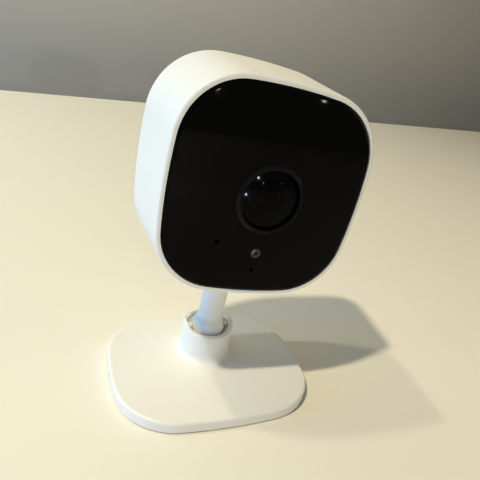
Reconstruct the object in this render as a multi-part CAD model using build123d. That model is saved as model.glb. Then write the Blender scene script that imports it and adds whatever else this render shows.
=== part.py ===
from build123d import *
import os
from math import cos, radians, sin, sqrt, tan

# A compact indoor camera: a rounded-square head on a short post, whose ball sits in a cup on a flat base.
# Millimetres and degrees. +Z is up, the face looks along -Y, and the origin is under the base's centre.

# Base plate
base_width = 67.6
base_depth = 54.8
base_top = 4.3
base_side_bow = 3.2
base_end_bow = 2.6
base_corner_radius = 19.5
base_edge_round = 0.9
base_wall = 1.8
base_roof = 1.2
foot_thickness = 0.5
foot_inset = 2.4
cover_thickness = 0.8
cover_gap = 0.15
ballast_thickness = 1.5
ballast_gap = 0.8
base_screw_side_inset = 9.8
base_screw_end_inset = 12.4
base_boss_radius = 2.6
keyhole_spacing = 34.0
keyhole_y = -6.0
keyhole_entry_radius = 3.3
keyhole_slot_width = 3.4
keyhole_slot_length = 6.0
keyhole_room = 1.2

# Cup and ball joint
ball_radius = 5.8
ball_y = 7.5
ball_z = 14.6
ball_gap = 0.2
cup_radius = 8.8
cup_mouth_radius = 7.2
cup_mouth_drop = 2.0
cup_mouth_round = 0.3
cup_notch_z = 15.2
cup_notch_round = 2.6
cup_ear_height = 2.0
cup_ear_width = 0.9
cup_foot_round = 2.4
cup_rim_round = 0.4
seat_radius = 4.3
seat_height = 6.6
seat_fit = 0.08
spring_thickness = 0.45
spring_eye_radius = 2.2
button_radius = 1.25
button_depth = 8.0
button_fit = 0.06

# Pose in the photograph: the ball's tilt and lean, then the head's turn on its post
rest_tilt = -1.6
rest_lean = 3.55
rest_pan = -1.7

# Neck
post_radius = 4.2
post_flare = 1.6
post_fit = 0.08
shoulder_gap = 0.05
spindle_radius = 3.2
spindle_end = 1.2
neck_bore_depth = 2.6
neck_shelf = 2.1
neck_boss_radius = 6.6
neck_washer_thickness = 0.6
neck_washer_radius = 6.0
neck_clip_thickness = 0.7
neck_clip_radius = 5.2
neck_groove_depth = 0.7
neck_clip_mouth = 3.6

# Head casing: width and height of the front rim, and where its centre stands from the ball
head_width = 57.4
head_height = 58.4
head_depth = 36.5
head_bow = 2.25
head_corner_radius = 17.8
head_flare_angle = 3.6
head_back_round = 8.5
head_front_round = 0.7
head_wall = 1.8
rear_cover_depth = 7.5
post_from_back = 15.1
face_up = 55.1
seam_groove_width = 0.3
seam_groove_depth = 0.5
spigot_gap = 0.4
spigot_wall = 1.2
spigot_length = 2.0
spigot_root = 1.5

# Front window
rim_width = 1.25
window_gap = 0.06
window_proud = 0.3
window_rise = 1.0
window_edge = 2.2
window_thickness = 1.9
window_flange = 3.6
window_edge_round = 1.0
ledge_width = 4.6
ledge_thickness = 1.5

# Lens
lens_z = 0.1
ring_radius = 9.6
ring_raise = 0.8
ring_chamfer = 0.65
ring_bore_radius = 8.3
ring_flange_width = 1.2
ring_flange_thickness = 1.0
ring_step_width = 0.8
ring_step_thickness = 0.6
dome_sag = 1.2
dome_proud = 0.2
dome_gap = 0.05
barrel_radius = 6.8
barrel_thread_radius = 6.0
barrel_neck_length = 5.0
barrel_bowl_radius = 5.3
barrel_bowl_depth = 2.6
barrel_window_gap = 0.3
element_rise = 1.0
element_edge = 1.0
holder_width = 24.8
holder_height = 18.0
holder_depth = 10.0
holder_fit = 0.05
aperture_radius = 4.2
sensor_width = 8.4
sensor_height = 7.4
sensor_thickness = 1.2
sensor_room = 0.8
filter_travel = 7.0
filter_pane_width = 5.6
filter_pane_height = 7.0
filter_pane_thickness = 0.5
filter_border = 1.1
carriage_thickness = 1.3
carriage_gap = 0.15
slot_end_gap = 0.3

# Boards and what they carry
board_room = 14.6
board_thickness = 1.2
board_gap = 1.9
board_corner_radius = 12.0
board_notch_width = 17.2
board_notch_height = 4.5
board_screw_inset = 6.5
board_boss_radius = 2.6
screw_radius = 0.95
screw_head_radius = 1.9
screw_head_height = 1.1
board_screw_length = 6.0
pilot_gap = 0.05
through_gap = 0.25
infrared_board_thickness = 1.0
infrared_board_gap = 0.5
infrared_board_hole = 8.0
infrared_led_count = 6
infrared_led_circle = 13.6
infrared_led_size = 2.8
infrared_led_height = 1.1
infrared_led_dome = 0.9
status_up = 13.7
status_radius = 1.4
status_led_size = 1.6
status_led_height = 0.8
microphone_up = 8.45
microphone_hole_radius = 0.65
microphone_width = 3.0
microphone_height = 2.2
microphone_thickness = 1.0
gasket_radius = 1.5
light_sensor_x = -12.0
light_sensor_up = 16.2
light_sensor_size = 2.0
light_sensor_height = 0.9
shield_size = 24.0
shield_height = 2.0
shield_wall = 0.3
shield_z = 6.0
pad_size = 18.0
pad_thickness = 0.5
spreader_width = 36.0
spreader_height = 28.0
spreader_thickness = 0.8
coil_length = 12.0
coil_radius = 2.6
coil_cheek = 1.0
coil_size = 6.4
coil_clear = 1.2

# Rear of the head
speaker_z = 9.0
speaker_radius = 10.0
speaker_depth = 5.0
speaker_rim = 1.4
speaker_gasket_thickness = 0.8
speaker_ring_gap = 0.15
speaker_ring_wall = 1.0
speaker_ring_height = 3.2
grille_hole_radius = 0.6
grille_pitch = 2.2
grille_rows = 4
socket_z = -13.5
socket_width = 9.0
socket_height = 3.4
socket_wall = 0.35
socket_depth = 7.0
socket_room = 0.35
socket_inset = 1.6
tongue_width = 6.6
tongue_thickness = 0.7
tongue_length = 5.0
card_z = -3.0
card_width = 11.4
card_thickness = 0.9
card_holder_gap = 0.6
card_socket_wall = 1.2
card_socket_skin = 0.35
card_room = 0.3
reset_x = 14.0
reset_z = -14.0
reset_radius = 1.6
reset_gap = 0.08
reset_travel = 0.6
reset_flange_radius = 2.4
reset_flange_thickness = 0.9
reset_flange_gap = 0.05
reset_inset = 0.2
reset_stem_radius = 1.0
reset_stop = 0.1
switch_size = 4.6
switch_height = 3.0
switch_plunger_radius = 1.2
switch_plunger = 0.5
antenna_width = 26.0
antenna_height = 5.0
antenna_thickness = 0.5
antenna_up = 10.2


# Heights and depths that follow from the sizes above
base_bottom = foot_thickness
cover_top = base_bottom + cover_thickness
base_ceiling = base_top - base_roof
ball_hollow = ball_radius + ball_gap
flare_slope = tan(radians(head_flare_angle))
window_width = head_width - 2 * rim_width
window_back = window_edge - window_proud
window_apex = -window_proud - window_rise
window_floor = window_apex + window_thickness
window_sphere = ((window_width / 2) ** 2 + window_rise**2) / (2 * window_rise)
ledge_back = window_back + ledge_thickness
inner_back = head_depth - head_wall
head_seam = head_depth - rear_cover_depth
face_ahead = head_depth - post_from_back
face_bottom = -head_height / 2
status_z = face_bottom + status_up
microphone_z = face_bottom + microphone_up
light_sensor_z = face_bottom + light_sensor_up
antenna_z = face_bottom + antenna_up
board_front = inner_back - board_room
board_back = board_front + board_thickness
board_width = head_width - 2 * (head_wall + board_gap)
board_height = head_height - 2 * (head_wall + board_gap)
card_socket_length = (board_width - holder_width) / 2 - card_holder_gap
head_underside = -(head_height / 2 + face_ahead * flare_slope)
neck_shoulder = head_underside + neck_bore_depth
neck_boss_top = neck_shoulder + neck_shelf


# Shared shapes
def bowed_outline(width, height, side_bow, end_bow, corner_radius):
    """A rectangle whose four sides bow outwards, with rounded corners."""
    x = width / 2 - side_bow
    y = height / 2 - end_bow
    sides = [
        ThreePointArc((-x, -y), (0, -height / 2), (x, -y)),
        ThreePointArc((x, -y), (width / 2, 0), (x, y)),
        ThreePointArc((x, y), (0, height / 2), (-x, y)),
        ThreePointArc((-x, y), (-width / 2, 0), (-x, -y)),
    ]
    sketch = make_face(Wire(sides))
    return fillet(sketch.vertices(), corner_radius)


def base_outline(inset):
    """The base's outline, drawn in by an inset on every side."""
    width = base_width - 2 * inset
    depth = base_depth - 2 * inset
    return bowed_outline(width, depth, base_side_bow, base_end_bow, base_corner_radius - inset)


def head_outline(inset):
    """The head's front outline, drawn in by an inset on every side. A negative inset is larger."""
    width = head_width - 2 * inset
    height = head_height - 2 * inset
    return bowed_outline(width, height, head_bow, head_bow, head_corner_radius - inset)


def slab(sketch, front, back):
    """Extrudes a sketch of X and Z between two depths behind the face."""
    plane = Plane(origin=(0, back, 0), x_dir=(1, 0, 0), z_dir=(0, -1, 0))
    return extrude(plane * sketch, back - front)


def rod(radius, front, back, x=0, z=0):
    """A round bar along the depth of the head."""
    return slab(Pos(x, z) * Circle(radius), front, back)


def block(width, height, front, back, x=0, z=0):
    """A square-edged bar along the depth of the head."""
    return slab(Pos(x, z) * Rectangle(width, height), front, back)


def post(radius, low, high, x=0, y=0):
    """A round bar along Z between two heights."""
    return extrude(Pos(x, y, low) * Circle(radius), high - low)


def sheet(sketch, low, high):
    """Extrudes a sketch of X and Y between two heights."""
    return extrude(Pos(0, 0, low) * sketch, high - low)


def flared_body(inset, front, back, back_round):
    """The head's outer form, drawn in by an inset: wider towards the back, which has a round edge."""
    sections = []
    for depth in (back, front):
        plane = Plane(origin=(0, depth, 0), x_dir=(1, 0, 0), z_dir=(0, -1, 0))
        sections.append(plane * head_outline(inset - depth * flare_slope))
    body = loft(sections, ruled=True)
    return fillet(body.faces().sort_by(Axis.Y)[-1].edges(), back_round)


def corner_places(x, y):
    """The four places that mirror one corner."""
    return [(sx * x, sy * y) for sx in (-1, 1) for sy in (-1, 1)]


base_screws_at = corner_places(base_width / 2 - base_screw_side_inset, base_depth / 2 - base_screw_end_inset)
board_screws_at = corner_places(board_width / 2 - board_screw_inset, board_height / 2 - board_screw_inset)
keyholes_at = [(side * keyhole_spacing / 2, keyhole_y) for side in (-1, 1)]
infrared_angles = [360 * i / infrared_led_count for i in range(infrared_led_count)]
infrared_at = [
    (infrared_led_circle * cos(radians(a)), lens_z + infrared_led_circle * sin(radians(a)))
    for a in infrared_angles
]
base_pieces = {}
neck_pieces = {}
head_pieces = {}

# Base shell: a moulded plate, hollow below, with the cup for the ball rising from its top
plate = sheet(base_outline(0), base_bottom, base_top)
plate = fillet(plate.faces().sort_by(Axis.Z)[-1].edges(), base_edge_round)
plate -= sheet(base_outline(base_wall), base_bottom, base_ceiling)
cup_top = cup_notch_z + cup_ear_height
cup = post(cup_radius, base_ceiling, cup_top, 0, ball_y)
base_shell = plate + cup
cup_foot = base_shell.edges().filter_by(GeomType.CIRCLE).filter_by_position(Axis.Z, base_top, base_top)
cup_foot = cup_foot.filter_by(lambda edge: abs(edge.radius - cup_radius) < 0.01)
base_shell = fillet(cup_foot, cup_foot_round)
notch_reach = 2 * cup_radius
notch = RectangleRounded(2 * (cup_radius - cup_ear_width), 2 * notch_reach, cup_notch_round)
notch = Pos(0, cup_notch_z + notch_reach) * notch
base_shell -= slab(notch, ball_y - notch_reach, ball_y + notch_reach)
cup_rim = base_shell.edges().filter_by_position(Axis.Z, cup_notch_z - cup_rim_round, cup_top + cup_rim_round)
base_shell = fillet(cup_rim, cup_rim_round)
base_shell -= post(cup_mouth_radius, ball_z, cup_top + cup_radius, 0, ball_y)
cup_rim = base_shell.edges().filter_by_position(Axis.Z, cup_notch_z - cup_rim_round, cup_top + cup_rim_round)
base_shell = fillet(cup_rim.sort_by(SortBy.LENGTH)[-1], cup_mouth_round)
funnel = Cone(cup_mouth_radius - cup_mouth_drop, cup_mouth_radius, cup_mouth_drop)
base_shell -= Pos(0, ball_y, ball_z - cup_mouth_drop / 2) * funnel
for x, y in base_screws_at:
    base_shell += post(base_boss_radius, cover_top, base_ceiling, x, y)
    base_shell -= post(screw_radius + pilot_gap, base_bottom, base_top - base_roof / 2, x, y)
base_shell -= Pos(0, ball_y, ball_z) * Sphere(ball_hollow)
base_shell -= post(seat_radius + seat_fit, base_bottom, ball_z, 0, ball_y)
pocket_length = 2 * (button_depth + button_fit)
pocket = Pos(0, ball_y, ball_z) * Rot(0, 90, 0) * Cylinder(button_radius + button_fit, pocket_length)
base_shell -= pocket
base_pieces["base_shell"] = base_shell


# Base cover: a flat plate that closes the base, with two keyholes to hang it on screws
def keyhole(room):
    """A keyhole's outline: a round entry and a narrower slot that runs from it."""
    slot_end = Pos(0, keyhole_slot_length) * Circle(keyhole_slot_width / 2 + room)
    slot = Pos(0, keyhole_slot_length / 2) * Rectangle(keyhole_slot_width + 2 * room, keyhole_slot_length)
    return Circle(keyhole_entry_radius + room) + slot + slot_end


cover_outline = base_outline(base_wall + cover_gap)
for x, y in keyholes_at:
    cover_outline -= Pos(x, y) * keyhole(0)
base_cover = sheet(cover_outline, base_bottom, cover_top)
screw_sink = cover_thickness / 2
for x, y in base_screws_at:
    base_cover -= post(screw_radius + through_gap, base_bottom, cover_top, x, y)
    base_cover -= post(screw_head_radius + through_gap, base_bottom, base_bottom + screw_sink, x, y)
base_pieces["base_cover"] = base_cover

# Base screws: four flat heads under the foot pad, driven up into the shell's bosses
base_screws = []
for x, y in base_screws_at:
    screw = post(screw_head_radius, base_bottom, base_bottom + screw_sink, x, y)
    screw += post(screw_radius, base_bottom, base_ceiling, x, y)
    base_screws.append(screw)
base_pieces["base_screws"] = Compound(base_screws)

# Foot pad: a rubber sheet under the cover, open at the keyholes
foot_outline = base_outline(foot_inset)
for x, y in keyholes_at:
    foot_outline -= Pos(x, y) * keyhole(keyhole_room)
base_pieces["foot_pad"] = sheet(foot_outline, 0, foot_thickness)

# Ballast plate: steel that keeps the base down, cut away round the bosses, keyholes and ball seat
ballast_outline = base_outline(base_wall + ballast_gap)
for x, y in base_screws_at:
    ballast_outline -= Pos(x, y) * Circle(base_boss_radius + ballast_gap)
for x, y in keyholes_at:
    ballast_outline -= Pos(x, y) * keyhole(keyhole_room + ballast_gap)
ballast_outline -= Pos(0, ball_y) * Circle(seat_radius + ballast_gap)
base_pieces["ballast_plate"] = sheet(ballast_outline, cover_top, cover_top + ballast_thickness)

# Ball seat and its spring: a plug with a dished top, pressed up against the ball by a cone washer
seat_top = ball_z - sqrt(ball_hollow**2 - seat_radius**2)
seat_bottom = seat_top - seat_height
ball_seat = post(seat_radius, seat_bottom, seat_top, 0, ball_y)
ball_seat -= Pos(0, ball_y, ball_z) * Sphere(ball_hollow)
base_pieces["ball_seat"] = ball_seat
spring_profile = Polyline(
    (seat_radius, cover_top),
    (seat_radius, cover_top + spring_thickness),
    (spring_eye_radius, seat_bottom),
    (spring_eye_radius, seat_bottom - spring_thickness),
    close=True,
)
spring_face = make_face(Plane.XZ * spring_profile)
base_pieces["seat_spring"] = Pos(0, ball_y, 0) * revolve(spring_face, Axis.Z)

# Friction buttons: two nylon plugs in the cup's ears, dished to grip the ball from each side
friction_buttons = []
button_start = ball_radius / 2
for side in (-1, 1):
    button = Rot(0, 90 * side, 0) * post(button_radius, button_start, button_depth)
    button -= Sphere(ball_hollow)
    friction_buttons.append(Pos(0, ball_y, ball_z) * button)
base_pieces["friction_buttons"] = Compound(friction_buttons)

# Neck: the ball, the post above it, and the spindle that the head turns on
shoulder_height = face_up + neck_shoulder - shoulder_gap
shelf_top = face_up + neck_boss_top
clip_low = shelf_top + neck_washer_thickness + shoulder_gap
clip_high = clip_low + neck_clip_thickness
spindle_top = clip_high + spindle_end
neck = Sphere(ball_radius) + post(post_radius, 0, shoulder_height)
flare_edge = neck.edges().filter_by(GeomType.CIRCLE).filter_by_position(Axis.Z, 0, ball_radius)
neck = fillet(flare_edge, post_flare)
neck += post(spindle_radius, shoulder_height, spindle_top)
groove_radius = spindle_radius - neck_groove_depth
neck -= post(spindle_radius, clip_low, clip_high) - post(groove_radius, clip_low, clip_high)
neck_pieces["neck"] = neck

# Neck clip: a spring-steel ring, open at one side, in the spindle's groove
clip_outline = Circle(neck_clip_radius) - Circle(groove_radius)
clip_outline -= Pos(0, neck_clip_radius) * Rectangle(neck_clip_mouth, 2 * neck_clip_radius)
neck_pieces["neck_clip"] = sheet(clip_outline, clip_low, clip_high)

# Neck washer: a nylon ring between the clip and the head's inner boss
washer = Circle(neck_washer_radius) - Circle(spindle_radius + post_fit)
washer = sheet(washer, neck_boss_top, neck_boss_top + neck_washer_thickness)
head_pieces["neck_washer"] = Pos(0, face_ahead, 0) * washer

# Head casing, as one hollow form, before it is split at the seam
casing_form = flared_body(0, 0, head_depth, head_back_round)
casing = casing_form - flared_body(head_wall, ledge_back, inner_back, head_back_round - head_wall)
reach = 2 * max(head_width, head_height)
seam_plane = Plane(origin=(0, head_seam, 0), x_dir=(1, 0, 0), z_dir=(0, -1, 0))

# Front housing: the white shell with the thin front rim, a ledge for the window and bosses inside
front_housing = split(casing, seam_plane, keep=Keep.TOP)
front_housing = fillet(front_housing.faces().sort_by(Axis.Y)[0].edges(), head_front_round)
front_housing -= slab(head_outline(rim_width - window_gap), -reach, window_back)
front_housing -= slab(head_outline(rim_width + ledge_width), -reach, ledge_back)
neck_boss = post(neck_boss_radius, head_underside - reach / 4, neck_boss_top, 0, face_ahead)
front_housing += neck_boss & casing_form
for x, z in board_screws_at:
    front_housing += rod(board_boss_radius, ledge_back - ledge_thickness / 2, board_front, x, z)
for x, z in board_screws_at:
    pilot_depth = board_screw_length + screw_head_height
    front_housing -= rod(screw_radius + pilot_gap, board_front - pilot_depth, board_front, x, z)
front_housing -= post(post_radius + post_fit, head_underside - reach / 4, neck_shoulder, 0, face_ahead)
front_housing -= post(spindle_radius + post_fit, neck_shoulder, neck_boss_top, 0, face_ahead)
card_middle = board_front - card_socket_skin - card_thickness / 2
card_slot = slab(
    Pos(head_width / 2, card_z) * Rectangle(head_width / 4, card_width + 2 * card_room),
    card_middle - card_thickness / 2 - card_room,
    card_middle + card_thickness / 2 + card_room,
)
front_housing -= card_slot
head_pieces["front_housing"] = front_housing

# Rear cover: the back of the casing, with a groove at the seam and a spigot that plugs into the front housing
rear_cover = split(casing, seam_plane, keep=Keep.BOTTOM)
groove_floor = head_outline(seam_groove_depth - head_seam * flare_slope)
rear_cover -= slab(Rectangle(reach, reach) - groove_floor, head_seam, head_seam + seam_groove_width)
spigot_inset = head_wall + spigot_gap - head_seam * flare_slope
spigot = slab(head_outline(spigot_inset), head_seam - spigot_length, head_seam + spigot_root)
spigot -= slab(head_outline(spigot_inset + spigot_wall), -reach, reach)
spigot -= post(neck_boss_radius + spigot_gap, -reach, 0, 0, face_ahead)
rear_cover += spigot
speaker_front = inner_back - speaker_gasket_thickness
ring_inner = speaker_radius + speaker_ring_gap
speaker_ring = rod(ring_inner + speaker_ring_wall, inner_back - speaker_ring_height, inner_back, 0, speaker_z)
speaker_ring -= rod(ring_inner, inner_back - speaker_ring_height, inner_back, 0, speaker_z)
rear_cover += speaker_ring
for row in range(-grille_rows, grille_rows + 1):
    for column in range(-grille_rows, grille_rows + 1):
        x = column * grille_pitch
        z = row * grille_pitch
        if sqrt(x * x + z * z) < grille_rows * grille_pitch:
            rear_cover -= rod(grille_hole_radius, inner_back, head_depth, x, speaker_z + z)
socket_opening = RectangleRounded(
    socket_width + 2 * socket_room, socket_height + 2 * socket_room, socket_height / 2
)
rear_cover -= slab(Pos(0, socket_z) * socket_opening, inner_back, head_depth)
rear_cover -= rod(reset_radius + reset_gap, inner_back, head_depth, reset_x, reset_z)
head_pieces["rear_cover"] = rear_cover

# Front window: black acrylic with a domed face, thinner behind its glued edge
window = slab(head_outline(rim_width), window_apex - window_rise, window_back)
window &= Pos(0, window_apex + window_sphere, 0) * Sphere(window_sphere)
dome_face = window.faces().filter_by(GeomType.SPHERE)[0]
window = fillet(dome_face.edges(), window_edge_round)
window -= slab(head_outline(rim_width + window_flange), window_floor, window_back)
window -= rod(ring_radius + dome_gap, -reach, reach, 0, lens_z)
window -= rod(status_radius + dome_gap, -reach, reach, 0, status_z)
window -= rod(microphone_hole_radius, -reach, reach, 0, microphone_z)
window -= rod(microphone_hole_radius, -reach, reach, light_sensor_x, light_sensor_z)
head_pieces["front_window"] = window

# Lens ring: a raised black bezel with a chamfered edge, flanged behind the window
ring_front = window_apex - ring_raise
step_front = window_floor + ring_flange_thickness - ring_step_thickness
lens_ring = rod(ring_radius, ring_front, window_floor, 0, lens_z)
lens_ring = chamfer(lens_ring.faces().sort_by(Axis.Y)[0].edges(), ring_chamfer)
flange_back = window_floor + ring_flange_thickness
lens_ring += rod(ring_radius + ring_flange_width, window_floor, flange_back, 0, lens_z)
lens_ring -= rod(ring_bore_radius, ring_front, step_front, 0, lens_z)
lens_ring -= rod(ring_bore_radius - ring_step_width, ring_front, flange_back, 0, lens_z)
head_pieces["lens_ring"] = lens_ring

# Lens dome: a convex glass that closes the ring
dome_radius = ring_bore_radius - dome_gap
dome_apex = ring_front - dome_proud
dome_sphere = (dome_radius**2 + dome_sag**2) / (2 * dome_sag)
lens_dome = rod(dome_radius, dome_apex - dome_sag, step_front, 0, lens_z)
lens_dome &= Pos(0, dome_apex + dome_sphere, lens_z) * Sphere(dome_sphere)
head_pieces["lens_dome"] = lens_dome

# Lens barrel and its front glass, screwed into the lens holder
holder_front = board_front - holder_depth
barrel_front = flange_back + barrel_window_gap
lens_barrel = rod(barrel_radius, barrel_front, holder_front, 0, lens_z)
lens_barrel += rod(barrel_thread_radius, holder_front, holder_front + barrel_neck_length, 0, lens_z)
lens_barrel -= rod(barrel_bowl_radius, barrel_front, barrel_front + barrel_bowl_depth, 0, lens_z)
lens_barrel -= rod(aperture_radius, barrel_front, holder_front + barrel_neck_length, 0, lens_z)
head_pieces["lens_barrel"] = lens_barrel
element_radius = barrel_bowl_radius - dome_gap
element_back = barrel_front + barrel_bowl_depth
element_apex = element_back - element_edge - element_rise
element_sphere = (element_radius**2 + element_rise**2) / (2 * element_rise)
lens_element = rod(element_radius, element_apex - element_rise, element_back, 0, lens_z)
lens_element &= Pos(0, element_apex + element_sphere, lens_z) * Sphere(element_sphere)
head_pieces["lens_element"] = lens_element

# Lens holder: a block on the main board, with the barrel's bore, the filter's slot and the sensor's room
slot_front = holder_front + barrel_neck_length + slot_end_gap
slot_back = slot_front + carriage_thickness + 2 * carriage_gap
carriage_width = filter_travel + filter_pane_width + 2 * filter_border
carriage_height = filter_pane_height + 2 * filter_border
slot_width = carriage_width + filter_travel + 2 * slot_end_gap
lens_holder = block(holder_width, holder_height, holder_front, board_front, 0, lens_z)
lens_holder -= rod(barrel_thread_radius + holder_fit, holder_front, slot_front - slot_end_gap, 0, lens_z)
lens_holder -= block(slot_width, carriage_height + 2 * carriage_gap, slot_front, slot_back, 0, lens_z)
lens_holder -= rod(aperture_radius, holder_front, board_front, 0, lens_z)
sensor_room_width = sensor_width + 2 * sensor_room
sensor_room_height = sensor_height + 2 * sensor_room
sensor_room_front = board_front - sensor_thickness - sensor_room
lens_holder -= block(sensor_room_width, sensor_room_height, sensor_room_front, board_front, 0, lens_z)
head_pieces["lens_holder"] = lens_holder

# Infrared filter: a carriage with two panes side by side, which slides to put one or the other in the way
carriage_front = slot_front + carriage_gap
carriage_back = carriage_front + carriage_thickness
pane_front = carriage_front + (carriage_thickness - filter_pane_thickness) / 2
panes_at = (-filter_travel, 0)
carriage = block(
    carriage_width, carriage_height, carriage_front, carriage_back, -filter_travel / 2, lens_z
)
panes = []
for x in panes_at:
    carriage -= block(filter_pane_width, filter_pane_height, carriage_front, carriage_back, x, lens_z)
    pane_back = pane_front + filter_pane_thickness
    panes.append(block(filter_pane_width, filter_pane_height, pane_front, pane_back, x, lens_z))
filter_pieces = {"filter_carriage": carriage, "filter_panes": Compound(panes)}

# Filter coil: a small bobbin on the board, above the lens holder
coil_z = lens_z + holder_height / 2 + coil_clear + coil_size / 2
coil_middle = board_front - coil_size / 2
winding = Pos(0, coil_middle, coil_z) * Rot(0, 90, 0) * Cylinder(coil_radius, coil_length)
for side in (-1, 1):
    x = side * (coil_length - coil_cheek) / 2
    winding += block(coil_cheek, coil_size, board_front - coil_size, board_front, x, coil_z)
head_pieces["filter_coil"] = winding

# Image sensor: a chip on the front of the main board
head_pieces["image_sensor"] = block(
    sensor_width, sensor_height, board_front - sensor_thickness, board_front, 0, lens_z
)

# Main board: notched at the bottom for the neck, on four screws
board = fillet(Rectangle(board_width, board_height).vertices(), board_corner_radius)
notch_place = -(board_height - board_notch_height) / 2
board -= Pos(0, notch_place) * Rectangle(board_notch_width, board_notch_height)
for x, z in board_screws_at:
    board -= Pos(x, z) * Circle(screw_radius + through_gap)
head_pieces["main_board"] = slab(board, board_front, board_back)
board_screws = []
for x, z in board_screws_at:
    screw = rod(screw_head_radius, board_back, board_back + screw_head_height, x, z)
    screw += rod(screw_radius, board_front - board_screw_length, board_back, x, z)
    board_screws.append(screw)
head_pieces["board_screws"] = Compound(board_screws)

# Shield can, thermal pad and heat spreader, stacked on the back of the main board
shield_back = board_back + shield_height
shield = block(shield_size, shield_size, board_back, shield_back, 0, shield_z)
shield_room = shield_size - 2 * shield_wall
shield -= block(shield_room, shield_room, board_back, shield_back - shield_wall, 0, shield_z)
head_pieces["shield_can"] = shield
pad_back = shield_back + pad_thickness
head_pieces["thermal_pad"] = block(pad_size, pad_size, shield_back, pad_back, 0, shield_z)
spreader_back = pad_back + spreader_thickness
head_pieces["heat_spreader"] = block(
    spreader_width, spreader_height, pad_back, spreader_back, 0, shield_z
)

# Infrared board: a plate on the back of the window's ledge, with the lights and sensors on its front
infrared_back = ledge_back + infrared_board_thickness
infrared_inset = head_wall + infrared_board_gap - ledge_back * flare_slope
infrared_board = slab(head_outline(infrared_inset), ledge_back, infrared_back)
infrared_board -= rod(infrared_board_hole, ledge_back, infrared_back, 0, lens_z)
for x, z in board_screws_at:
    boss_room = board_boss_radius + infrared_board_gap
    infrared_board -= rod(boss_room, ledge_back, infrared_back, x, z)
head_pieces["infrared_board"] = infrared_board
infrared_leds = []
for x, z in infrared_at:
    led_front = ledge_back - infrared_led_height
    led = block(infrared_led_size, infrared_led_size, led_front, ledge_back, x, z)
    led += Pos(x, led_front, z) * Sphere(infrared_led_dome)
    infrared_leds.append(led)
head_pieces["infrared_leds"] = Compound(infrared_leds)

# Status light: a chip on the infrared board, and a frosted rod that carries its light to the window's face
status_front = ledge_back - status_led_height
head_pieces["status_led"] = block(
    status_led_size, status_led_size, status_front, ledge_back, 0, status_z
)
status_face = window_apex + window_sphere - sqrt(window_sphere**2 - status_z**2)
head_pieces["status_light_guide"] = rod(status_radius, status_face, status_front, 0, status_z)

# Microphone behind its hole, with a rubber gasket, and the light sensor behind the second hole
microphone_front = ledge_back - microphone_thickness
head_pieces["microphone"] = block(
    microphone_width, microphone_height, microphone_front, ledge_back, 0, microphone_z
)
gasket = rod(gasket_radius, window_floor, microphone_front, 0, microphone_z)
gasket -= rod(microphone_hole_radius, window_floor, microphone_front, 0, microphone_z)
head_pieces["microphone_gasket"] = gasket
sensor_front = ledge_back - light_sensor_height
head_pieces["light_sensor"] = block(
    light_sensor_size, light_sensor_size, sensor_front, ledge_back, light_sensor_x, light_sensor_z
)

# Speaker and its foam gasket, in the ring on the rear cover
speaker_back = speaker_front - speaker_depth
speaker = rod(speaker_radius, speaker_back + speaker_depth / 2, speaker_front, 0, speaker_z)
speaker += rod(speaker_radius - 2 * speaker_rim, speaker_back, speaker_front, 0, speaker_z)
speaker -= rod(speaker_radius - speaker_rim, speaker_front - speaker_rim / 2, speaker_front, 0, speaker_z)
head_pieces["speaker"] = speaker
gasket = rod(speaker_radius, speaker_front, inner_back, 0, speaker_z)
gasket -= rod(speaker_radius - speaker_rim, speaker_front, inner_back, 0, speaker_z)
head_pieces["speaker_gasket"] = gasket

# Power socket: an upright metal shell on the board, with a plastic tongue inside its mouth
socket_mouth = head_depth - socket_inset
socket_form = RectangleRounded(socket_width, socket_height, socket_height / 2 - socket_wall / 2)
socket_hole = RectangleRounded(
    socket_width - 2 * socket_wall, socket_height - 2 * socket_wall, socket_height / 2 - 2 * socket_wall
)
socket = slab(Pos(0, socket_z) * socket_form, board_back, socket_mouth)
socket -= slab(Pos(0, socket_z) * socket_hole, socket_mouth - socket_depth, socket_mouth)
head_pieces["power_socket"] = socket
socket_floor = socket_mouth - socket_depth
head_pieces["socket_tongue"] = block(
    tongue_width, tongue_thickness, socket_floor, socket_floor + tongue_length, 0, socket_z
)

# Card socket: a flat metal cage on the front of the board, open towards the slot in the casing's side
card_back = board_front
card_front = card_back - card_thickness - 2 * card_socket_skin
card_x = board_width / 2 - card_socket_length / 2
card_height = card_width + 2 * card_socket_wall
card_socket = block(card_socket_length, card_height, card_front, card_back, card_x, card_z)
card_socket -= block(
    card_socket_length,
    card_width,
    card_front + card_socket_skin,
    card_back - card_socket_skin,
    card_x + card_socket_wall,
    card_z,
)
head_pieces["card_socket"] = card_socket

# Reset button and the switch that it presses
switch_top = board_back + switch_height
reset_switch = block(switch_size, switch_size, board_back, switch_top, reset_x, reset_z)
plunger_top = switch_top + switch_plunger
reset_switch += rod(switch_plunger_radius, switch_top, plunger_top, reset_x, reset_z)
head_pieces["reset_switch"] = reset_switch
stem_end = plunger_top + reset_travel + reset_stop
flange_rear = inner_back - reset_flange_gap
reset_button = rod(reset_radius, flange_rear, head_depth - reset_inset, reset_x, reset_z)
flange_front = flange_rear - reset_flange_thickness
reset_button += rod(reset_flange_radius, flange_front, flange_rear, reset_x, reset_z)
reset_button += rod(reset_stem_radius, stem_end, flange_front, reset_x, reset_z)
button_pieces = {"reset_button": reset_button}

# Antenna: a thin strip stuck inside the rear cover
head_pieces["antenna"] = block(
    antenna_width, antenna_height, inner_back - antenna_thickness, inner_back, 0, antenna_z
)

# Everything is set in the photographed pose: the neck about the ball, then the head on the neck
neck_place = Pos(0, ball_y, ball_z) * Rot(rest_tilt, rest_lean, 0)
head_place = neck_place * Rot(0, 0, rest_pan) * Pos(0, -face_ahead, face_up)
placed = dict(base_pieces)
for name, piece in neck_pieces.items():
    placed[name] = neck_place * piece
for group in (head_pieces, filter_pieces, button_pieces):
    for name, piece in group.items():
        placed[name] = head_place * piece

os.makedirs("parts", exist_ok=True)
for name, piece in placed.items():
    export_step(piece, f"parts/{name}.step")
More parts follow.
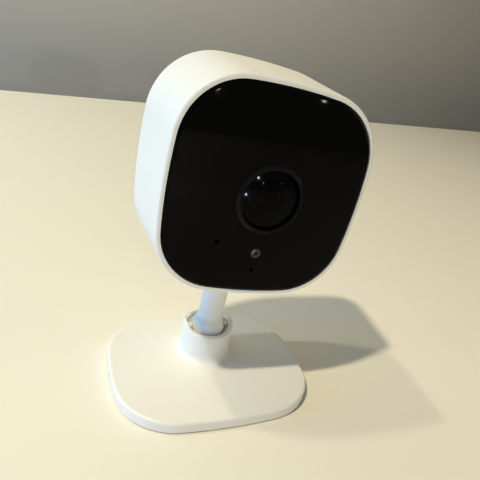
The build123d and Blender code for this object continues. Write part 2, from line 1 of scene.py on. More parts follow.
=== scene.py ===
import bmesh
import bpy
from math import cos, pi, radians, sin
from mathutils import Matrix, Vector


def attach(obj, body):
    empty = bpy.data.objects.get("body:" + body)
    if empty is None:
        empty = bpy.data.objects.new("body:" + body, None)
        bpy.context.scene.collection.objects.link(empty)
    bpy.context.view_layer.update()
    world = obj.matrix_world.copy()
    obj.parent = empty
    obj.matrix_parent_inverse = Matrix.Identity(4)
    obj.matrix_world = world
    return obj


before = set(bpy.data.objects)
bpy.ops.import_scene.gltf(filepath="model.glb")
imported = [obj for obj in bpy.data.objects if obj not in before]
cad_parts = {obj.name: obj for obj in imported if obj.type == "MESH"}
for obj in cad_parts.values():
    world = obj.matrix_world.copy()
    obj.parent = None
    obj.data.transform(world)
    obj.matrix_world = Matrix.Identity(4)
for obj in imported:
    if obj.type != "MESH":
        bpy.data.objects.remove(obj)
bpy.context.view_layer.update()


# Base shell: the flat foot and its cup, one moulding in white ABS with a fine spark-eroded skin.
# The ball of the neck drops into the cup, and the underside is closed by the cover.
def start_effect(name, inputs, outputs):
    """A shader node group with named sockets. Inputs are (name, kind, value) and outputs (name, kind)."""
    tree = bpy.data.node_groups.new(name, "ShaderNodeTree")
    for socket, kind, value in inputs:
        made = tree.interface.new_socket(socket, in_out="INPUT", socket_type="NodeSocket" + kind)
        made.default_value = value
    for socket, kind in outputs:
        tree.interface.new_socket(socket, in_out="OUTPUT", socket_type="NodeSocket" + kind)
    return tree, tree.nodes.new("NodeGroupInput").outputs, tree.nodes.new("NodeGroupOutput").inputs


def end_effect(tree, made, **results):
    """Links each result to the group's output of that name, and returns the group."""
    for name, result in results.items():
        tree.links.new(result, made[name])
    return tree


def add(tree, kind, settings=None, **sockets):
    """Adds a shader node. Each keyword is an input socket, as a value or as another node's output."""
    node = tree.nodes.new("ShaderNode" + kind)
    for key, value in (settings or {}).items():
        setattr(node, key, value)
    for key, value in sockets.items():
        socket = node.inputs[int(key[1:])] if key[0] == "_" else node.inputs[key.replace("_", " ")]
        if isinstance(value, bpy.types.NodeSocket):
            tree.links.new(value, socket)
        else:
            socket.default_value = value
    return node


def mix_shades(tree, amount, first, second):
    """Mixes two shades by an amount from 0 to 1. The Mix node's colours are its sockets 6 and 7."""
    return add(tree, "Mix", {"data_type": "RGBA"}, _0=amount, _6=first, _7=second).outputs[2]


def vary_gloss(tree, roughness, pattern, swing):
    """Lets a roughness rise and fall with a pattern, by up to swing each way."""
    change = add(tree, "MapRange", Value=pattern, To_Min=-swing, To_Max=swing)
    return add(tree, "Math", {"operation": "ADD"}, _0=roughness, _1=change.outputs[0]).outputs[0]


skin_outputs = [("Color", "Color"), ("Roughness", "Float"), ("Height", "Float")]


def moulded_skin():
    """Moulded plastic: a fine skin, faint flow marks in its shade, and gloss that follows them."""
    tree, given, made = start_effect(
        "moulded_skin",
        [("Shade", "Color", (0.8, 0.8, 0.8, 1)), ("Flow Shade", "Color", (0.7, 0.7, 0.7, 1)),
         ("Grain", "Float", 4000.0), ("Flow", "Float", 30.0), ("Roughness", "Float", 0.45)],
        skin_outputs,
    )
    place = add(tree, "TexCoord").outputs["Object"]
    grain = add(tree, "TexNoise", Vector=place, Scale=given["Grain"], Detail=2.0)
    flow = add(tree, "TexNoise", Vector=place, Scale=given["Flow"], Detail=4.0, Distortion=0.6)
    spread = add(tree, "MapRange", Value=flow.outputs["Fac"], From_Min=0.35, From_Max=0.7)
    return end_effect(
        tree, made,
        Color=mix_shades(tree, spread.outputs[0], given["Shade"], given["Flow Shade"]),
        Roughness=vary_gloss(tree, given["Roughness"], flow.outputs["Fac"], swing=0.05),
        Height=grain.outputs["Fac"],
    )


def make_finish(name, effect, depth=None, strength=None, plain=None, **values):
    """A material with one effect group wired to its shader, and the group's own values.

    A depth turns the group's Height into bumps that deep, in metres. What is the same all over the
    surface goes to the shader's own sockets, by plain.
    """
    material = bpy.data.materials.new(name)
    material.use_nodes = True
    tree = material.node_tree
    shader = tree.nodes["Principled BSDF"]
    group = tree.nodes.new("ShaderNodeGroup")
    group.name = "effect"
    group.node_tree = effect
    for key, value in values.items():
        group.inputs[key.replace("_", " ")].default_value = value
    for key, value in (plain or {}).items():
        shader.inputs[key].default_value = value
    for made, used in (("Color", "Base Color"), ("Roughness", "Roughness")):
        if made in group.outputs:
            tree.links.new(group.outputs[made], shader.inputs[used])
    if depth:
        bump = add(tree, "Bump", Height=group.outputs["Height"], Distance=depth, Strength=strength)
        tree.links.new(bump.outputs["Normal"], shader.inputs["Normal"])
    return material


def coat_node(material, *names):
    """Gives the named CAD pieces one finish."""
    for name in names:
        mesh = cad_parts[name].data
        mesh.materials.clear()
        mesh.materials.append(material)


white_skin = moulded_skin()
stand_white = make_finish(
    "stand_white", white_skin, Shade=(0.885, 0.878, 0.85, 1), Flow_Shade=(0.87, 0.863, 0.835, 1),
    Grain=5200.0, Flow=26.0, Roughness=0.40, depth=0.00002, strength=0.35,
)
coat_node(stand_white, "base_shell")

# Neck: the ball and post, moulded in the same white ABS and polished where the ball turns in the cup.
# The spindle at its top runs up into the head.
neck_white = make_finish(
    "neck_white", white_skin, Shade=(0.85, 0.848, 0.83, 1), Flow_Shade=(0.835, 0.832, 0.81, 1),
    Grain=6500.0, Flow=45.0, Roughness=0.33, depth=0.000012, strength=0.3,
)
coat_node(neck_white, "neck")

# Base cover: a flat moulded plate under the base, a shade greyer than the shell, with two keyholes.
# Four screws hold it, and the foot pad hides their heads.
cover_grey = make_finish(
    "cover_grey", white_skin, Shade=(0.72, 0.72, 0.71, 1), Flow_Shade=(0.68, 0.68, 0.67, 1),
    Grain=3200.0, Flow=40.0, Roughness=0.55, depth=0.00003, strength=0.5,
)
coat_node(cover_grey, "base_cover")


# Foot pad: a die-cut sheet of grey silicone rubber, stuck under the cover and open at the keyholes.
# Its face has a fine woven grip pattern from the sheet's backing cloth.
def rubber_grip():
    """Rubber: a fine crossed grip pattern with dust caught in it."""
    tree, given, made = start_effect(
        "rubber_grip",
        [("Shade", "Color", (0.1, 0.1, 0.1, 1)), ("Dust", "Color", (0.3, 0.3, 0.28, 1)),
         ("Pattern", "Float", 900.0), ("Grain", "Float", 2500.0)],
        skin_outputs,
    )
    place = add(tree, "TexCoord").outputs["Object"]
    across = add(tree, "TexWave", {"bands_direction": "X"}, Vector=place, Scale=given["Pattern"])
    along = add(tree, "TexWave", {"bands_direction": "Y"}, Vector=place, Scale=given["Pattern"])
    weave = add(tree, "Math", {"operation": "MAXIMUM"}, _0=across.outputs["Fac"], _1=along.outputs["Fac"])
    grain = add(tree, "TexNoise", Vector=place, Scale=given["Grain"], Detail=3.0)
    height = add(tree, "Math", {"operation": "ADD"}, _0=weave.outputs[0], _1=grain.outputs["Fac"])
    patches = add(tree, "TexNoise", Vector=place, Scale=90.0, Detail=5.0)
    dusty = add(tree, "MapRange", Value=patches.outputs["Fac"], From_Min=0.55, From_Max=0.85, To_Max=0.5)
    rough = add(tree, "MapRange", Value=grain.outputs["Fac"], To_Min=0.62, To_Max=0.82)
    return end_effect(
        tree, made,
        Color=mix_shades(tree, dusty.outputs[0], given["Shade"], given["Dust"]),
        Roughness=rough.outputs[0],
        Height=height.outputs[0],
    )


grip = rubber_grip()
pad_rubber = make_finish(
    "pad_rubber", grip, Shade=(0.055, 0.056, 0.06, 1), Dust=(0.16, 0.155, 0.15, 1),
    Pattern=620.0, Grain=2600.0, depth=0.00006, strength=0.6,
)
coat_node(pad_rubber, "foot_pad")


# Steel pieces of the base: the pressed ballast plate, the cone spring under the ball seat, and the screws.
# All are zinc-plated, with faint lines from rolling or turning.
def plated_steel():
    """Plated or rolled metal: lines along one direction, and a shade that drifts a little."""
    tree, given, made = start_effect(
        "plated_steel",
        [("Shade", "Color", (0.6, 0.6, 0.6, 1)), ("Dull Shade", "Color", (0.5, 0.5, 0.5, 1)),
         ("Lines", "Vector", (80.0, 4000.0, 4000.0)), ("Roughness", "Float", 0.3)],
        skin_outputs,
    )
    place = add(tree, "TexCoord").outputs["Object"]
    stretched = add(tree, "VectorMath", {"operation": "MULTIPLY"}, _0=place, _1=given["Lines"])
    lines = add(tree, "TexNoise", Vector=stretched.outputs[0], Scale=1.0, Detail=2.0)
    drift = add(tree, "TexNoise", Vector=place, Scale=120.0, Detail=4.0)
    return end_effect(
        tree, made,
        Color=mix_shades(tree, drift.outputs["Fac"], given["Shade"], given["Dull Shade"]),
        Roughness=vary_gloss(tree, given["Roughness"], lines.outputs["Fac"], swing=0.1),
        Height=lines.outputs["Fac"],
    )


steel_lines = plated_steel()
bare_metal = {"Metallic": 1.0}
zinc_steel = make_finish(
    "zinc_steel", steel_lines, Shade=(0.62, 0.63, 0.64, 1), Dull_Shade=(0.50, 0.51, 0.53, 1),
    Lines=(90.0, 5200.0, 5200.0), Roughness=0.34, depth=0.000006, strength=0.4, plain=bare_metal,
)
coat_node(zinc_steel, "ballast_plate", "seat_spring", "base_screws")

# Ball seat, friction buttons and neck washer: natural nylon, slightly yellow and waxy.
# They are turned or moulded plain, and grip the ball and the head's boss.
natural_nylon = make_finish(
    "natural_nylon", white_skin, Shade=(0.78, 0.76, 0.69, 1), Flow_Shade=(0.72, 0.70, 0.62, 1),
    Grain=2600.0, Flow=150.0, Roughness=0.42, depth=0.00002, strength=0.4,
    plain={"Subsurface Weight": 0.15, "Subsurface Radius": (0.001, 0.0008, 0.0006)},
)
coat_node(natural_nylon, "ball_seat", "friction_buttons", "neck_washer")

# Neck clip: a spring-steel ring pressed into the spindle's groove, blued by its heat treatment.
# It keeps the head on the post and is never seen once the head is closed.
spring_steel = make_finish(
    "spring_steel", steel_lines, Shade=(0.20, 0.21, 0.25, 1), Dull_Shade=(0.12, 0.12, 0.14, 1),
    Lines=(3000.0, 3000.0, 200.0), Roughness=0.38, depth=0.000006, strength=0.4, plain=bare_metal,
)
coat_node(spring_steel, "neck_clip")

# Head casing: the front housing and the rear cover, white ABS like the stand, with a satin skin.
# The two are pressed together at the seam, and the front housing's rim stands round the window.
housing_white = make_finish(
    "housing_white", white_skin, Shade=(0.865, 0.86, 0.84, 1), Flow_Shade=(0.85, 0.845, 0.822, 1),
    Grain=4800.0, Flow=22.0, Roughness=0.42, depth=0.00002, strength=0.35,
)
coat_node(housing_white, "front_housing")
rear_white = make_finish(
    "rear_white", white_skin, Shade=(0.86, 0.855, 0.835, 1), Flow_Shade=(0.845, 0.84, 0.815, 1),
    Grain=4200.0, Flow=24.0, Roughness=0.46, depth=0.000025, strength=0.4,
)
coat_node(rear_white, "rear_cover")


# Front window: a domed plate of black acrylic that passes infrared, polished and glued into the rim.
# It shows handling as faint smears that only change its gloss.
def polished_face():
    """Polished plastic or glass: faint smears in its gloss."""
    tree, given, made = start_effect(
        "polished_face",
        [("Roughness", "Float", 0.04), ("Smear", "Float", 0.05), ("Smear Size", "Float", 60.0)],
        [("Roughness", "Float")],
    )
    place = add(tree, "TexCoord").outputs["Object"]
    smears = add(tree, "TexNoise", Vector=place, Scale=given["Smear Size"], Detail=5.0, Distortion=1.4)
    mask = add(tree, "MapRange", Value=smears.outputs["Fac"], From_Min=0.5, From_Max=0.8)
    amount = add(tree, "Math", {"operation": "MULTIPLY"}, _0=mask.outputs[0], _1=given["Smear"])
    rough = add(tree, "Math", {"operation": "ADD"}, _0=given["Roughness"], _1=amount.outputs[0])
    return end_effect(tree, made, Roughness=rough.outputs[0])


polish = polished_face()
window_black = make_finish(
    "window_black", polish, Roughness=0.035, Smear=0.06, Smear_Size=55.0,
    plain={"Base Color": (0.0011, 0.0011, 0.0012, 1), "Specular IOR Level": 0.06},
)
coat_node(window_black, "front_window")

# Lens ring: a black bezel turned from a gloss moulding, with a polished chamfer round its front.
# It stands proud of the window and is flanged behind it.
ring_black = make_finish(
    "ring_black", polish, Roughness=0.12, Smear=0.08, Smear_Size=140.0,
    plain={"Base Color": (0.004, 0.004, 0.0044, 1), "Specular IOR Level": 0.08},
)
coat_node(ring_black, "lens_ring")

# Lens glass: the convex front glass in the ring, and the smaller element in the barrel behind it.
# Both are ground and coated against reflections, which leaves them dark with small glints.
dome_glass = make_finish(
    "dome_glass", polish, Roughness=0.075, Smear=0.015, Smear_Size=180.0,
    plain={"Base Color": (0.10, 0.105, 0.13, 1), "Transmission Weight": 1.0, "IOR": 1.15,
           "Specular Tint": (0.80, 0.78, 0.90, 1)},
)
coat_node(dome_glass, "lens_dome")
element_glass = make_finish(
    "element_glass", polish, Roughness=0.0, Smear=0.02, Smear_Size=260.0,
    plain={"Base Color": (0.42, 0.36, 0.62, 1), "Transmission Weight": 1.0, "IOR": 1.62,
           "Specular Tint": (0.20, 0.15, 0.36, 1)},
)
coat_node(element_glass, "lens_element")

# Lens barrel, holder and filter carriage: glass-filled black plastic, dull so that it throws no stray light.
# The barrel screws into the holder, and the carriage slides in the holder's slot.
dull_black = make_finish(
    "dull_black", white_skin, Shade=(0.012, 0.012, 0.013, 1), Flow_Shade=(0.018, 0.018, 0.019, 1),
    Grain=3800.0, Flow=120.0, Roughness=0.55, depth=0.00003, strength=0.6,
)
coat_node(dull_black, "lens_barrel", "lens_holder", "filter_carriage")

# Lens baffle: a stepped black funnel behind the front glass, which narrows towards the barrel.
# It is moulded in one with fine steps, so that light from the side is caught between them.
ball_centre = Vector((0.0, 0.0075, 0.0146))
face_from_ball = Vector((0.0, -0.0214, 0.0551))
rest_tilt = radians(-1.6)
rest_lean = radians(3.55)
rest_pan = radians(-1.7)
head_turn = (
    Matrix.Rotation(rest_tilt, 4, "X")
    @ Matrix.Rotation(rest_lean, 4, "Y")
    @ Matrix.Rotation(rest_pan, 4, "Z")
)
head_frame = Matrix.Translation(ball_centre) @ head_turn @ Matrix.Translation(face_from_ball)


def show_mesh(name, mesh, finish):
    """Puts a mesh in the scene with one finish."""
    mesh.materials.append(finish)
    piece = bpy.data.objects.new(name, mesh)
    bpy.context.scene.collection.objects.link(piece)
    return piece


def fix_in_head(name, made, finish):
    """Makes a piece of a mesh that is laid out from the middle of the head's face, and fixes it there."""
    bmesh.ops.recalc_face_normals(made, faces=made.faces)
    made.transform(head_frame)
    mesh = bpy.data.meshes.new(name)
    made.to_mesh(mesh)
    made.free()
    piece = show_mesh(name, mesh, finish)
    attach(piece, "head")


def turn_profile(profile, height, sides=72):
    """A closed ring or disc turned about the depth of the head: profile is (radius, depth) in metres."""
    made = bmesh.new()
    rings = []
    for radius, depth in profile:
        if radius == 0.0:
            rings.append([made.verts.new((0.0, depth, height))])
            continue
        angles = [2 * pi * i / sides for i in range(sides)]
        rings.append([made.verts.new((radius * cos(a), depth, height + radius * sin(a))) for a in angles])
    for ring, after in zip(rings, rings[1:] + rings[:1]):
        if len(ring) == 1 and len(after) == 1:
            continue
        for i in range(sides):
            near = [ring[i % len(ring)], ring[(i + 1) % len(ring)]]
            far = [after[(i + 1) % len(after)], after[i % len(after)]]
            made.faces.new(list(dict.fromkeys(near + far)))
    return made


lens_height = 0.0001
baffle_front = 0.0011
baffle_steps = 5
baffle_wide = 0.00735
baffle_narrow = 0.00545
baffle_wall = 0.0002
baffle_lip = 0.00005
rim_steps = 2.4
step_in = (baffle_wide - baffle_narrow) / baffle_steps
step_back = 0.00014
baffle_back = baffle_front + baffle_steps * step_back
baffle_profile = []
for step in range(baffle_steps):
    step_radius = baffle_wide - step * step_in
    baffle_profile.append((step_radius, baffle_front + step * step_back))
    baffle_profile.append((step_radius, baffle_front + (step + 1) * step_back))
baffle_profile.append((baffle_narrow, baffle_back))
baffle_profile.append((baffle_narrow + baffle_wall, baffle_back + baffle_lip))
baffle_profile.append((baffle_wide, baffle_front + rim_steps * step_back))
baffle_black = make_finish(
    "baffle_black", white_skin, Shade=(0.02, 0.02, 0.021, 1), Flow_Shade=(0.028, 0.028, 0.03, 1),
    Grain=5200.0, Flow=160.0, Roughness=0.36, depth=0.00001, strength=0.4,
)
fix_in_head("lens_baffle", turn_profile(baffle_profile, lens_height), baffle_black)

# Filter panes: two small glasses in the carriage, one clear and one that stops infrared.
# Both are float glass with a vacuum coating that tints them blue-green.
pane_glass = make_finish(
    "pane_glass", polish, Roughness=0.0, Smear=0.02, Smear_Size=300.0,
    plain={"Base Color": (0.55, 0.83, 0.78, 1), "Transmission Weight": 1.0, "IOR": 1.52},
)
coat_node(pane_glass, "filter_panes")

# Filter coil: enamelled copper wire wound on a small bobbin, which pulls the carriage from side to side.
# The turns run round the bobbin, so their lines cross its length.
wound_copper = make_finish(
    "wound_copper", steel_lines, Shade=(0.62, 0.27, 0.11, 1), Dull_Shade=(0.40, 0.15, 0.06, 1),
    Lines=(9000.0, 300.0, 300.0), Roughness=0.32, depth=0.00004, strength=0.8, plain=bare_metal,
)
coat_node(wound_copper, "filter_coil")


# Circuit boards: glass-fibre laminate under solder mask, with tracks that show as ridges in the mask.
# The main board is green, and the infrared board behind the window is black so that it stays unseen.
def solder_mask():
    """Solder mask: straight tracks in two directions, each in its own patches, over a woven laminate."""
    tree, given, made = start_effect(
        "solder_mask",
        [("Shade", "Color", (0.02, 0.12, 0.05, 1)), ("Track Shade", "Color", (0.04, 0.2, 0.08, 1)),
         ("Tracks", "Float", 500.0), ("Roughness", "Float", 0.3)],
        skin_outputs,
    )
    place = add(tree, "TexCoord").outputs["Object"]
    across = add(tree, "TexWave", {"bands_direction": "X"}, Vector=place, Scale=given["Tracks"])
    along = add(tree, "TexWave", {"bands_direction": "Z"}, Vector=place, Scale=given["Tracks"])
    patches = add(tree, "TexNoise", Vector=place, Scale=260.0, Detail=1.0)
    choose = add(tree, "Math", {"operation": "GREATER_THAN"}, _0=patches.outputs["Fac"], _1=0.5)
    lines = add(tree, "Mix", {"data_type": "FLOAT"}, _0=choose.outputs[0],
                _2=across.outputs["Fac"], _3=along.outputs["Fac"])
    track = add(tree, "MapRange", Value=lines.outputs[0], From_Min=0.62, From_Max=0.72)
    cloth = add(tree, "TexNoise", Vector=place, Scale=1500.0, Detail=2.0)
    return end_effect(
        tree, made,
        Color=mix_shades(tree, track.outputs[0], given["Shade"], given["Track Shade"]),
        Roughness=vary_gloss(tree, given["Roughness"], cloth.outputs["Fac"], swing=0.06),
        Height=track.outputs[0],
    )


mask_tracks = solder_mask()
board_green = make_finish(
    "board_green", mask_tracks, Shade=(0.008, 0.075, 0.030, 1), Track_Shade=(0.018, 0.125, 0.052, 1),
    Tracks=520.0, Roughness=0.32, depth=0.00003, strength=0.6,
)
coat_node(board_green, "main_board")
board_black = make_finish(
    "board_black", mask_tracks, Shade=(0.008, 0.008, 0.009, 1), Track_Shade=(0.015, 0.015, 0.016, 1),
    Tracks=640.0, Roughness=0.4, depth=0.00003, strength=0.6,
)
coat_node(board_black, "infrared_board")
coat_node(zinc_steel, "board_screws")

# Chips: the image sensor under its cover glass, the light sensor and the infrared lights in dark resin.
# All are soldered flat to their boards.
sensor_glass = make_finish(
    "sensor_glass", polish, Roughness=0.06, Smear=0.05, Smear_Size=500.0,
    plain={"Base Color": (0.035, 0.05, 0.075, 1)},
)
coat_node(sensor_glass, "image_sensor", "light_sensor")
dark_resin = make_finish(
    "dark_resin", polish, Roughness=0.10, Smear=0.10, Smear_Size=900.0,
    plain={"Base Color": (0.05, 0.03, 0.04, 1)},
)
coat_node(dark_resin, "infrared_leds")

# Shield can, heat spreader and microphone can: thin pressed metal over the warm or noisy chips.
# The can is tinned steel, the spreader rolled aluminium, and a soft pad lies between the two.
tinned_steel = make_finish(
    "tinned_steel", steel_lines, Shade=(0.72, 0.71, 0.68, 1), Dull_Shade=(0.62, 0.61, 0.58, 1),
    Lines=(4200.0, 4200.0, 160.0), Roughness=0.28, depth=0.000005, strength=0.4, plain=bare_metal,
)
coat_node(tinned_steel, "shield_can", "microphone")
rolled_aluminium = make_finish(
    "rolled_aluminium", steel_lines, Shade=(0.80, 0.80, 0.81, 1), Dull_Shade=(0.70, 0.70, 0.72, 1),
    Lines=(140.0, 5000.0, 5000.0), Roughness=0.36, depth=0.000006, strength=0.5, plain=bare_metal,
)
coat_node(rolled_aluminium, "heat_spreader")
soft_pad = make_finish(
    "soft_pad", grip, Shade=(0.40, 0.43, 0.52, 1), Dust=(0.50, 0.52, 0.58, 1),
    Pattern=300.0, Grain=3200.0, depth=0.00004, strength=0.5,
)
coat_node(soft_pad, "thermal_pad")

# Status light: a chip in a white package, and the frosted rod that brings its light to the window's face.
# The rod's end carries a painted highlight towards its upper left and a painted shade over its middle.
white_package = make_finish(
    "white_package", white_skin, Shade=(0.80, 0.80, 0.76, 1), Flow_Shade=(0.74, 0.70, 0.48, 1),
    Grain=6000.0, Flow=900.0, Roughness=0.45, depth=0.00001, strength=0.4,
)
coat_node(white_package, "status_led")
frosted_guide = make_finish(
    "frosted_guide", white_skin, Shade=(0.034, 0.034, 0.033, 1), Flow_Shade=(0.062, 0.062, 0.060, 1),
    Grain=7000.0, Flow=1100.0, Roughness=0.34, depth=0.00003, strength=0.7,
    plain={"Specular IOR Level": 0.12},
)
guide_tree = frosted_guide.node_tree


def paint_light_spot(centre, inner, outer, shade, around):
    """A round spot of painted light on the rod's end, lighter or darker than around it, fading between two
    radii into what is around it.
    """
    place = add(guide_tree, "TexCoord").outputs["Object"]
    away = add(guide_tree, "VectorMath", {"operation": "DISTANCE"}, _0=place, _1=tuple(head_frame @ centre))
    fade = add(guide_tree, "MapRange", Value=away.outputs["Value"], From_Min=inner, From_Max=outer)
    return mix_shades(guide_tree, fade.outputs[0], shade, around)


guide_end = Vector((0.0, -0.00098, -0.0155))
guide_highlight_place = Vector((-0.0011, -0.00098, -0.0148))
# Painted highlight: a lighter spot towards the upper left of the rod's end.
guide_with_painted_highlight = paint_light_spot(
    guide_highlight_place, inner=0.0004, outer=0.0012, shade=(0.17, 0.17, 0.165, 1),
    around=guide_tree.nodes["effect"].outputs["Color"],
)
# Painted shade: a near-black spot over the middle of the rod's end.
guide_with_painted_light = paint_light_spot(
    guide_end, inner=0.00045, outer=0.0007, shade=(0.002, 0.002, 0.002, 1), around=guide_with_painted_highlight
)
guide_tree.links.new(guide_with_painted_light, guide_tree.nodes["Principled BSDF"].inputs["Base Color"])
coat_node(frosted_guide, "status_light_guide")

# Gaskets: a soft black rubber tube round the microphone's port and a foam ring in front of the speaker.
# Both are die-cut and squeezed between the part and the casing.
gasket_rubber = make_finish(
    "gasket_rubber", grip, Shade=(0.014, 0.014, 0.015, 1), Dust=(0.03, 0.03, 0.03, 1),
    Pattern=1500.0, Grain=4200.0, depth=0.00002, strength=0.5,
)
coat_node(gasket_rubber, "microphone_gasket")
black_foam = make_finish(
    "black_foam", grip, Shade=(0.020, 0.020, 0.022, 1), Dust=(0.045, 0.045, 0.045, 1),
    Pattern=150.0, Grain=5200.0, depth=0.00012, strength=0.9,
)
coat_node(black_foam, "speaker_gasket")

# Speaker: a small driver in a black frame behind the grille, with a paper cone on a rolled edge.
# The cone and its cap are pressed in one and glued to the frame.
coat_node(dull_black, "speaker")
speaker_height = 0.0090
cone_rim = 0.00845
cone_back = 0.03322
rolled_edge = [
    (cone_rim, 0.03346), (0.0082, 0.03352), (0.0079, 0.03386), (0.0075, 0.03408), (0.0071, 0.03400),
    (0.0068, 0.03372), (0.0066, 0.03352),
]
paper_slope = [(0.0050, 0.03342), (0.0032, 0.03332)]
cone_cap = [(0.0030, 0.03346), (0.0024, 0.03376), (0.0016, 0.03396), (0.0008, 0.03406), (0.0, 0.03409)]
cone_profile = [(0.0, cone_back), (cone_rim, cone_back)] + rolled_edge + paper_slope + cone_cap
cone_paper = make_finish(
    "cone_paper", white_skin, Shade=(0.030, 0.030, 0.032, 1), Flow_Shade=(0.045, 0.045, 0.047, 1),
    Grain=2400.0, Flow=320.0, Roughness=0.7, depth=0.00006, strength=0.8,
)
fix_in_head("speaker_cone", turn_profile(cone_profile, speaker_height), cone_paper)

# Antenna: a strip of copper on amber film, stuck inside the rear cover.
# The copper shows through the film with a dull, slightly streaked shine.
antenna_film = make_finish(
    "antenna_film", steel_lines, Shade=(0.55, 0.28, 0.10, 1), Dull_Shade=(0.42, 0.20, 0.07, 1),
    Lines=(200.0, 3600.0, 3600.0), Roughness=0.30, depth=0.000008, strength=0.5, plain={"Metallic": 0.7},
)
coat_node(antenna_film, "antenna")

# Power socket and card socket: folded stainless shells soldered to the board.
# The power socket's tongue is black plastic, with a row of gilt contacts let into each face.
folded_steel = make_finish(
    "folded_steel", steel_lines, Shade=(0.66, 0.66, 0.66, 1), Dull_Shade=(0.54, 0.54, 0.55, 1),
    Lines=(3800.0, 180.0, 3800.0), Roughness=0.26, depth=0.000005, strength=0.4, plain=bare_metal,
)
coat_node(folded_steel, "power_socket", "card_socket")
coat_node(dull_black, "socket_tongue")
contact_count = 12
contact_pitch = 0.0005
contact_width = 0.00028
contact_start = 0.0290
contact_end = 0.0327
contact_rise = 0.00004
tongue_height = -0.0135
tongue_half = 0.00035


def strip_corners(middle, half, end, height):
    """The four corners of one level of a contact strip, from its root to its end."""
    left, right = middle - half, middle + half
    root = contact_start
    return [(left, root, height), (right, root, height), (right, end, height), (left, end, height)]


contacts = bmesh.new()
for side in (-1, 1):
    for i in range(contact_count):
        middle = (i - (contact_count - 1) / 2) * contact_pitch
        half = contact_width / 2
        face = tongue_height + side * tongue_half
        foot = strip_corners(middle, half, contact_end, face)
        top = face + side * contact_rise
        crown = strip_corners(middle, half - contact_rise, contact_end - contact_rise, top)
        lower = [contacts.verts.new(corner) for corner in foot]
        upper = [contacts.verts.new(corner) for corner in crown]
        contacts.faces.new(lower)
        contacts.faces.new(upper)
        for k in range(len(lower)):
            after = (k + 1) % len(lower)
            contacts.faces.new((lower[k], lower[after], upper[after], upper[k]))
gilt = make_finish(
    "gilt", steel_lines, Shade=(0.83, 0.60, 0.24, 1), Dull_Shade=(0.70, 0.48, 0.17, 1),
    Lines=(5000.0, 200.0, 5000.0), Roughness=0.25, plain=bare_metal,
)
fix_in_head("socket_contacts", contacts, gilt)

# Reset button and its switch: a small grey cap in the rear cover, over a black tactile switch.
# The cap is moulded with a flange that keeps it in its hole.
switch_black = make_finish(
    "switch_black", white_skin, Shade=(0.025, 0.025, 0.027, 1), Flow_Shade=(0.035, 0.035, 0.037, 1),
    Grain=5200.0, Flow=260.0, Roughness=0.48, depth=0.00002, strength=0.5,
)
coat_node(switch_black, "reset_switch")
button_grey = make_finish(
    "button_grey", white_skin, Shade=(0.56, 0.56, 0.55, 1), Flow_Shade=(0.52, 0.52, 0.51, 1),
    Grain=5600.0, Flow=300.0, Roughness=0.46, depth=0.00002, strength=0.5,
)
coat_node(button_grey, "reset_button")

# Table: a pale laminated desk top, a stage for the camera and no part of it.
# Its far edge stands in front of a plain wall.
desk_turn = 0.237
desk_far = Vector((-0.090, 0.415, 0.0))
desk_depth = 1.50
desk_half = 1.6
desk_across = Vector((cos(desk_turn), sin(desk_turn), 0.0))
desk_out = Vector((sin(desk_turn), -cos(desk_turn), 0.0))


def stage_sheet(name, middle, across, near, far, finish):
    """One flat face of the stage: across goes to each side of the middle, near and far to its two edges."""
    left, right = middle - across, middle + across
    corners = [tuple(left + far), tuple(left + near), tuple(right + near), tuple(right + far)]
    mesh = bpy.data.meshes.new(name)
    mesh.from_pydata(corners, [], [tuple(range(len(corners)))])
    show_mesh(name, mesh, finish)


desk_laminate = make_finish(
    "desk_laminate", white_skin, Shade=(0.91, 0.88, 0.80, 1), Flow_Shade=(0.895, 0.865, 0.785, 1),
    Grain=1500.0, Flow=6.0, Roughness=0.5, depth=0.00004, strength=0.3,
)
stage_sheet(
    "desk_top", desk_far, desk_across * desk_half,
    near=desk_out * desk_depth, far=Vector((0.0, 0.0, 0.0)), finish=desk_laminate,
)
wall_gap = 0.25
wall_drop = 0.7
wall_rise = 1.6
wall_half = 2.5
wall_paint = make_finish(
    "wall_paint", white_skin, Shade=(0.82, 0.80, 0.74, 1), Flow_Shade=(0.80, 0.78, 0.72, 1),
    Grain=400.0, Flow=3.0, Roughness=0.8,
)
stage_sheet(
    "wall", desk_far - desk_out * wall_gap, desk_across * wall_half,
    near=Vector((0.0, 0.0, -wall_drop)), far=Vector((0.0, 0.0, wall_rise)), finish=wall_paint,
)


# Light: two warm lamps above and to the left, two cool windows on the left, soft fill from right and above.
# The room beyond the desk gives little light of its own, and four small lamps in front leave glints.
def soft_lamp(name, place, aim, side, power, colour):
    """A square soft light that faces a point at the height aim over the middle of the base."""
    lamp = bpy.data.lights.new(name, "AREA")
    lamp.size = side
    lamp.energy = power
    lamp.color = colour
    piece = bpy.data.objects.new(name, lamp)
    piece.location = place
    piece.rotation_mode = "QUATERNION"
    piece.rotation_quaternion = (Vector((0.0, 0.0, aim)) - Vector(place)).to_track_quat("-Z", "Y")
    piece.visible_camera = False
    bpy.context.scene.collection.objects.link(piece)


warm_bulb = (1.0, 0.89, 0.62)
pale_bulb = (1.0, 0.93, 0.70)
blue_sky = (0.02, 0.33, 1.0)
green_sky = (0.15, 0.72, 0.78)
wall_glow = (1.0, 0.88, 0.60)
ceiling_glow = (1.0, 0.88, 0.78)
tube_white = (1.0, 0.97, 0.92)
plain_white = (1.0, 1.0, 1.0)
glint_blue = (0.62, 0.84, 1.0)
soft_lamp("near_lamp", place=(-0.663, -0.214, 1.191), aim=0.05, side=0.06, power=11.8, colour=warm_bulb)
soft_lamp("back_lamp", place=(-0.603, 0.303, 1.204), aim=0.05, side=0.06, power=3.1, colour=pale_bulb)
soft_lamp("cool_window", place=(-0.85, -0.02, 0.14), aim=0.06, side=0.36, power=3.2, colour=blue_sky)
soft_lamp("far_window", place=(-0.65, 0.45, 0.22), aim=0.06, side=0.36, power=0.9, colour=green_sky)
soft_lamp("right_wall", place=(0.80, -0.30, 0.40), aim=0.06, side=0.50, power=0.8, colour=wall_glow)
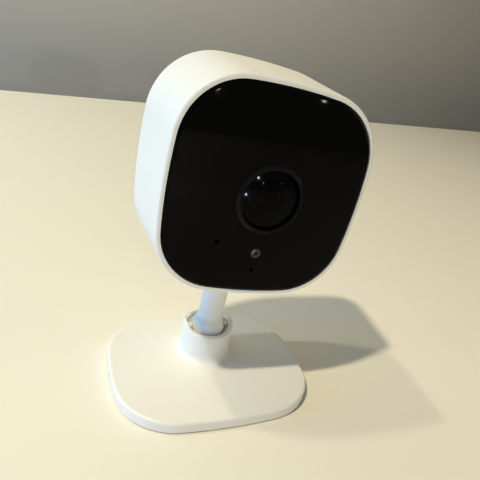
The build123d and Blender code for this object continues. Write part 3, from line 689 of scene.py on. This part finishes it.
soft_lamp("ceiling", place=(0.10, 0.20, 1.30), aim=0.0, side=0.90, power=0.4, colour=ceiling_glow)
soft_lamp("left_streak", place=(0.150, -1.000, 0.143), aim=0.09, side=0.014, power=0.060, colour=tube_white)
soft_lamp("right_streak", place=(0.505, -0.880, 0.145), aim=0.09, side=0.014, power=0.060, colour=tube_white)
soft_lamp("lens_glint", place=(0.036, -0.999, 0.236), aim=0.07, side=0.024, power=0.7, colour=plain_white)
soft_lamp("desk_glint", place=(-0.047, -0.305, 0.016), aim=0.07, side=0.005, power=0.065, colour=glint_blue)
seen_room_shade = (0.30, 0.29, 0.262, 1)
dim_room_shade = (0.032, 0.031, 0.030, 1)
room = bpy.data.worlds.new("room")
room.use_nodes = True
room_tree = room.node_tree
ray = add(room_tree, "LightPath").outputs
mirrored = add(
    room_tree, "Math", {"operation": "MAXIMUM"}, _0=ray["Is Glossy Ray"], _1=ray["Is Transmission Ray"]
)
seen = add(room_tree, "Math", {"operation": "MAXIMUM"}, _0=ray["Is Camera Ray"], _1=mirrored.outputs[0])
room_shade = mix_shades(room_tree, seen.outputs[0], dim_room_shade, seen_room_shade)
room_tree.links.new(room_shade, room_tree.nodes["Background"].inputs["Color"])
bpy.context.scene.world = room

# Camera: held above and to the left of the face, as in the photograph, framed for a square image.
# Its focal length and the place of its axis in the image are in pixels, its own place in metres.
image_side = 480
focal_length = 463.66
axis_across = 258.12
axis_down = 291.03
sensor_width = 36.0
photo_camera = bpy.data.cameras.new("photo_camera")
photo_camera.sensor_width = sensor_width
photo_camera.lens = focal_length / image_side * sensor_width
photo_camera.shift_x = (image_side / 2 - axis_across) / image_side
photo_camera.shift_y = (axis_down - image_side / 2) / image_side
photo_camera.clip_start = 0.005
photo_camera.clip_end = 20.0
viewer = bpy.data.objects.new("photo_camera", photo_camera)
viewer_place = Vector((-0.05079575, -0.11809774, 0.11089989))
right = Vector((0.9119159, -0.35765656, 0.20122419))
down = Vector((-0.02593682, -0.53959031, -0.84152812))
ahead = Vector((0.40955667, 0.76218376, -0.50133746))
turn = Matrix((right, -down, -ahead)).transposed().to_4x4()
viewer.matrix_world = Matrix.Translation(viewer_place) @ turn
bpy.context.scene.collection.objects.link(viewer)
bpy.context.scene.camera = viewer
bpy.context.scene.view_settings.view_transform = "Standard"
